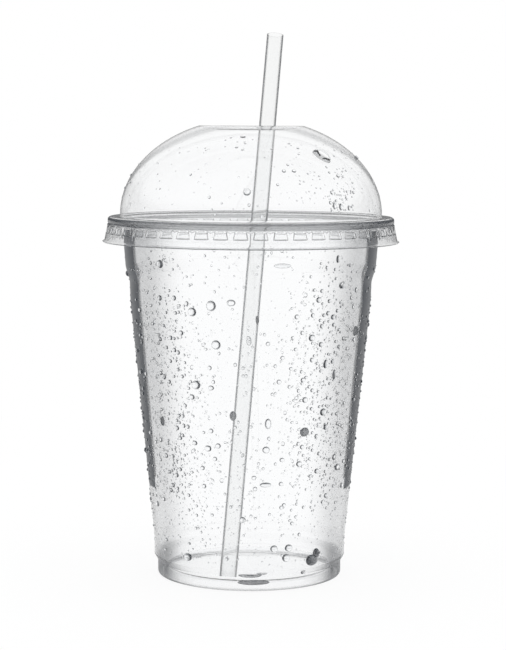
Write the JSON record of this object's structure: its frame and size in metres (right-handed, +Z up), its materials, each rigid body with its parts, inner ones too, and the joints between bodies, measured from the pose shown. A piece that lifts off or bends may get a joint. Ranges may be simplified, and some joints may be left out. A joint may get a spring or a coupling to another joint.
{
  "type": "plastic cup with lid",
  "caption": "Clear cold-drink cup with a tapered wall and stacking shoulder, a push-on dome lid with a round drinking hole and a straight straw leaning through it.",
  "frame": {"origin": "centre of the foot ring, on the surface that the cup stands on", "axes": "+Z up along the cup's axis; -Y is the side the picture shows, and the straw's lower end stands on that side"},
  "size_m": [0.1034, 0.1032, 0.1897],
  "materials": {
    "cup_plastic": "clear, glossy, beaded with water",
    "lid_plastic": "clear, glossy, a few beads of water",
    "straw_plastic": "clear, glossy"
  },
  "bodies": {
    "cup": {"cup": "cup_plastic"},
    "lid": {"lid": "lid_plastic"},
    "straw": {"straw": "straw_plastic"}
  },
  "joints": [
    {"name": "lid_lift", "type": "slide", "parent": "cup", "child": "lid", "axis": [0, 0, 1], "range_m": [0, 0.13]},
    {"name": "straw_pull", "type": "slide", "parent": "lid", "child": "straw", "axis": [0.0808, 0.2201, 0.9721], "range_m": [0, 0.165]}
  ]
}
